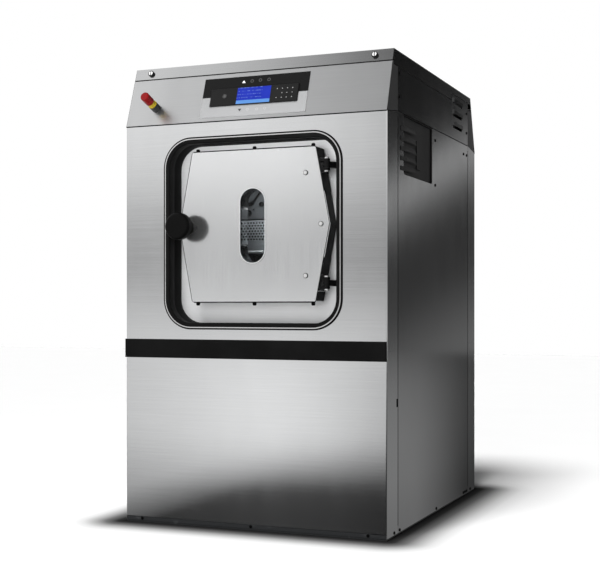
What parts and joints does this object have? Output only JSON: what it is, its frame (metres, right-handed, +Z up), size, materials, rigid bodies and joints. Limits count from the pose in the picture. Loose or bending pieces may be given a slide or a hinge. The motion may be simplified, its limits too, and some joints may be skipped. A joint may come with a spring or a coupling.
{
  "type": "barrier washer-extractor",
  "caption": "Free-standing stainless barrier washing machine with a leaning control panel, hexagonal windowed doors in rubber-lipped openings front and rear, and a sprung tub and drum.",
  "frame": {"origin": "on the floor, under the middle of the bounding box", "axes": "+X to the right seen from the loading front, +Y from the loading front to the unloading rear, +Z up"},
  "size_m": [0.98, 1.305, 1.61],
  "materials": {
    "stainless_panel": "brushed",
    "tub_steel": "brushed",
    "drum_steel": "brushed",
    "frame_paint": "satin paint",
    "black_rubber": "matte",
    "black_plastic": "matte",
    "chrome_trim": "polished",
    "red_plastic": "gloss",
    "overlay_film": "satin",
    "screen_glass": "gloss",
    "door_glass": "clear",
    "hardware_steel": "satin",
    "cast_iron": "as cast",
    "motor_alloy": "as cast",
    "grey_plastic": "matte",
    "spring_steel": "satin paint"
  },
  "bodies": {
    "cabinet": {"base_frame": "frame_paint", "inner_frame": "frame_paint", "front_lower_panel": "stainless_panel", "front_upper_panel": "stainless_panel", "front_control_panel": "stainless_panel", "rear_lower_panel": "stainless_panel", "rear_upper_panel": "stainless_panel", "rear_control_panel": "stainless_panel", "right_side_panel": "stainless_panel", "left_side_panel": "stainless_panel", "right_upper_side_panel": "stainless_panel", "left_upper_side_panel": "stainless_panel", "vent_grille": "black_plastic", "water_inlets": "hardware_steel", "bumper_strip": "black_rubber", "panel_screws": "hardware_steel", "door_bellows": "black_rubber", "opening_trims": "chrome_trim", "keypad_overlay": "overlay_film", "display_bezel": "black_plastic", "display_screen": "screen_glass", "control_box": "grey_plastic", "estop_collars": "black_plastic", "damper_cylinders": "spring_steel", "drain_outlet": "grey_plastic"},
    "lid": {"top_lid": "stainless_panel"},
    "left_lock": {"left_lid_lock": "hardware_steel"},
    "right_lock": {"right_lid_lock": "hardware_steel"},
    "front_estop": {"front_estop_button": "red_plastic"},
    "rear_estop": {"rear_estop_button": "red_plastic"},
    "tub": {"tub_shell": "tub_steel", "tub_end_plates": "tub_steel", "tub_door_plates": "tub_steel", "drum_bearings": "hardware_steel", "hinge_brackets": "hardware_steel", "tub_cradle": "frame_paint", "drive_motor": "motor_alloy", "drive_belt": "black_rubber", "suspension_springs": "spring_steel", "damper_rods": "hardware_steel", "drain_valve": "grey_plastic"},
    "front_door": {"front_door_skin": "stainless_panel", "front_door_liner": "tub_steel", "front_door_glass": "door_glass", "front_door_seal": "black_rubber", "front_door_hinge_leaves": "hardware_steel"},
    "rear_door": {"rear_door_skin": "stainless_panel", "rear_door_liner": "tub_steel", "rear_door_glass": "door_glass", "rear_door_seal": "black_rubber", "rear_door_hinge_leaves": "hardware_steel"},
    "front_knob": {"front_door_knob": "black_plastic"},
    "rear_knob": {"rear_door_knob": "black_plastic"},
    "drum": {"drum_shell": "drum_steel", "drum_heads": "drum_steel", "drum_lifters": "drum_steel", "drum_pulley": "cast_iron"},
    "upper_flap": {"upper_drum_flap": "drum_steel"},
    "lower_flap": {"lower_drum_flap": "drum_steel"},
    "motor": {"motor_pulley": "cast_iron"}
  },
  "joints": [
    {"name": "lid_lift", "type": "slide", "parent": "cabinet", "child": "lid", "axis": [0, 0, 1], "range_m": [0, 0.08]},
    {"name": "left_lock_turn", "type": "hinge", "parent": "lid", "child": "left_lock", "pos_m": [-0.421, -0.51604, 1.59], "axis": [0, -0.9433, 0.3319], "range_deg": [0, 90]},
    {"name": "right_lock_turn", "type": "hinge", "parent": "lid", "child": "right_lock", "pos_m": [0.421, -0.51604, 1.59], "axis": [0, 0.9433, -0.3319], "range_deg": [0, 90]},
    {"name": "front_estop_press", "type": "slide", "parent": "cabinet", "child": "front_estop", "axis": [0, 0.9433, -0.3319], "range_m": [0, 0.006]},
    {"name": "rear_estop_press", "type": "slide", "parent": "cabinet", "child": "rear_estop", "axis": [0, -0.9433, -0.3319], "range_m": [0, 0.006]},
    {"name": "tub_suspension", "type": "slide", "parent": "cabinet", "child": "tub", "axis": [0, 0, 1], "range_m": [-0.008, 0.008], "stiffness_N_per_m": 60000, "deforming": ["suspension_springs"]},
    {"name": "front_door_swing", "type": "hinge", "parent": "tub", "child": "front_door", "pos_m": [0.266, -0.557, 1.034], "axis": [0, 0, 1], "range_deg": [0, 90]},
    {"name": "rear_door_swing", "type": "hinge", "parent": "tub", "child": "rear_door", "pos_m": [-0.266, 0.557, 1.034], "axis": [0, 0, 1], "range_deg": [0, 90]},
    {"name": "front_knob_turn", "type": "hinge", "parent": "front_door", "child": "front_knob", "pos_m": [-0.25, -0.6, 1.034], "axis": [0, -1, 0], "range_deg": [0, 90]},
    {"name": "rear_knob_turn", "type": "hinge", "parent": "rear_door", "child": "rear_knob", "pos_m": [0.25, 0.6, 1.034], "axis": [0, 1, 0], "range_deg": [0, 90]},
    {"name": "drum_spin", "type": "hinge", "parent": "tub", "child": "drum", "pos_m": [0, 0, 1.034], "axis": [1, 0, 0], "continuous": true},
    {"name": "upper_flap_swing", "type": "hinge", "parent": "drum", "child": "upper_flap", "pos_m": [0, -0.31416, 1.21685], "axis": [1, 0, 0], "range_deg": [0, 85]},
    {"name": "lower_flap_swing", "type": "hinge", "parent": "drum", "child": "lower_flap", "pos_m": [0, -0.31416, 0.85115], "axis": [-1, 0, 0], "range_deg": [0, 85]},
    {"name": "motor_spin", "type": "hinge", "parent": "tub", "child": "motor", "pos_m": [0, 0.2, 0.47], "axis": [1, 0, 0], "continuous": true}
  ],
  "couplings": [
    {"joint": "motor_spin", "follows": "drum_spin", "ratio": 5}
  ]
}
